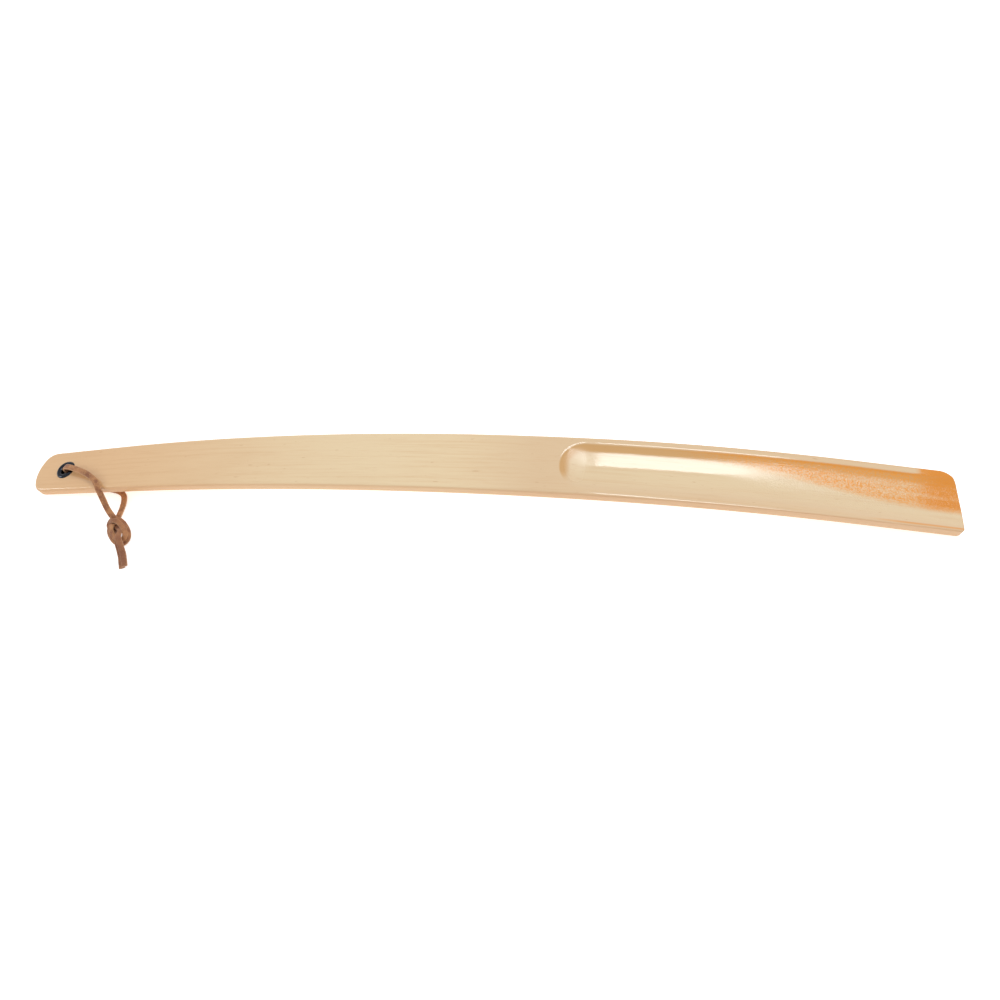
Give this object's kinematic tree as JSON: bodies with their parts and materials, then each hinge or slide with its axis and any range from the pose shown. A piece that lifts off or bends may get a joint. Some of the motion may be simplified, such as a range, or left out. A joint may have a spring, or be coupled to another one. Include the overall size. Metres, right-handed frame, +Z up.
{
  "type": "long shoehorn",
  "caption": "Long bent wooden shoehorn with a round-started scoop along its blade, an eyelet in the handle end and a knotted leather hanging thong.",
  "frame": {"origin": "on the surface that the horn lies on, under the middle of its length and width", "axes": "+Z up through the scooped face, +X along the horn from the handle end to the blade tip, -Y towards the side where the thong lies"},
  "size_m": [0.553, 0.0822, 0.0328],
  "materials": {
    "wood": "pale fine-grained beech or birch under a thin clear satin lacquer",
    "dark_metal": "glossy gunmetal plating",
    "leather": "matt reddish brown split leather lace with raw edges"
  },
  "bodies": {
    "horn": {"horn_body": "wood", "eyelet": "dark_metal", "eyelet_washer": "dark_metal"},
    "strap": {"strap_front": "leather", "strap_back": "leather", "strap_knot": "leather", "strap_tail_front": "leather", "strap_tail_back": "leather"}
  },
  "joints": [
    {"name": "strap_swing", "type": "hinge", "parent": "horn", "child": "strap", "pos_m": [-0.25407, 0, 0.00651], "axis": [0, 0, 1], "range_deg": [-60, 0]}
  ]
}
